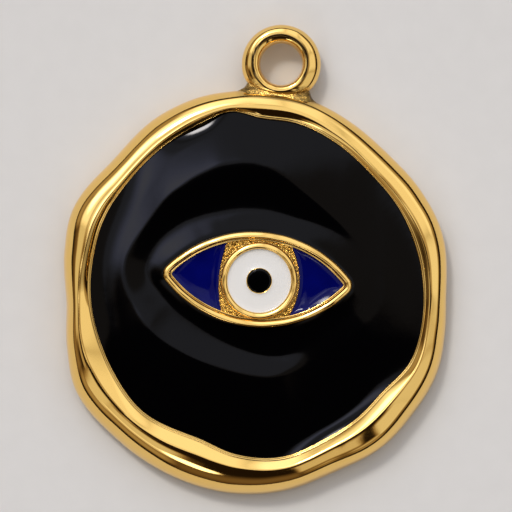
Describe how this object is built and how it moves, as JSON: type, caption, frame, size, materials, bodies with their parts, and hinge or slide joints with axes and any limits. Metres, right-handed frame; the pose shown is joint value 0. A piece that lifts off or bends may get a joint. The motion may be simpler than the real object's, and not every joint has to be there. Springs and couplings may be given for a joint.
{
  "type": "evil eye pendant",
  "caption": "Cast gold-coloured medallion with a wavy rim and a fixed loop, filled with black enamel round a raised enamelled eye.",
  "frame": {"origin": "middle of the medallion's outline, on the flat back", "axes": "+Z out of the front of the pendant, +Y from the middle of the medallion towards the hanging loop's side, +X to the right as the front is seen"},
  "size_m": [0.0203, 0.0248, 0.0024],
  "materials": {
    "gold": "polished gold plating over a cast base, grainy at the solder and beside the iris",
    "black_enamel": "glossy black enamel with soft swells",
    "blue_enamel": "glossy dark blue enamel",
    "white_enamel": "smooth white enamel",
    "pupil_enamel": "glossy black enamel"
  },
  "bodies": {
    "root": {"pendant_body": "gold", "field_enamel": "black_enamel", "eye_enamel_left": "blue_enamel", "eye_enamel_right": "blue_enamel", "iris_enamel": "white_enamel", "pupil_enamel": "pupil_enamel"}
  },
  "joints": []
}
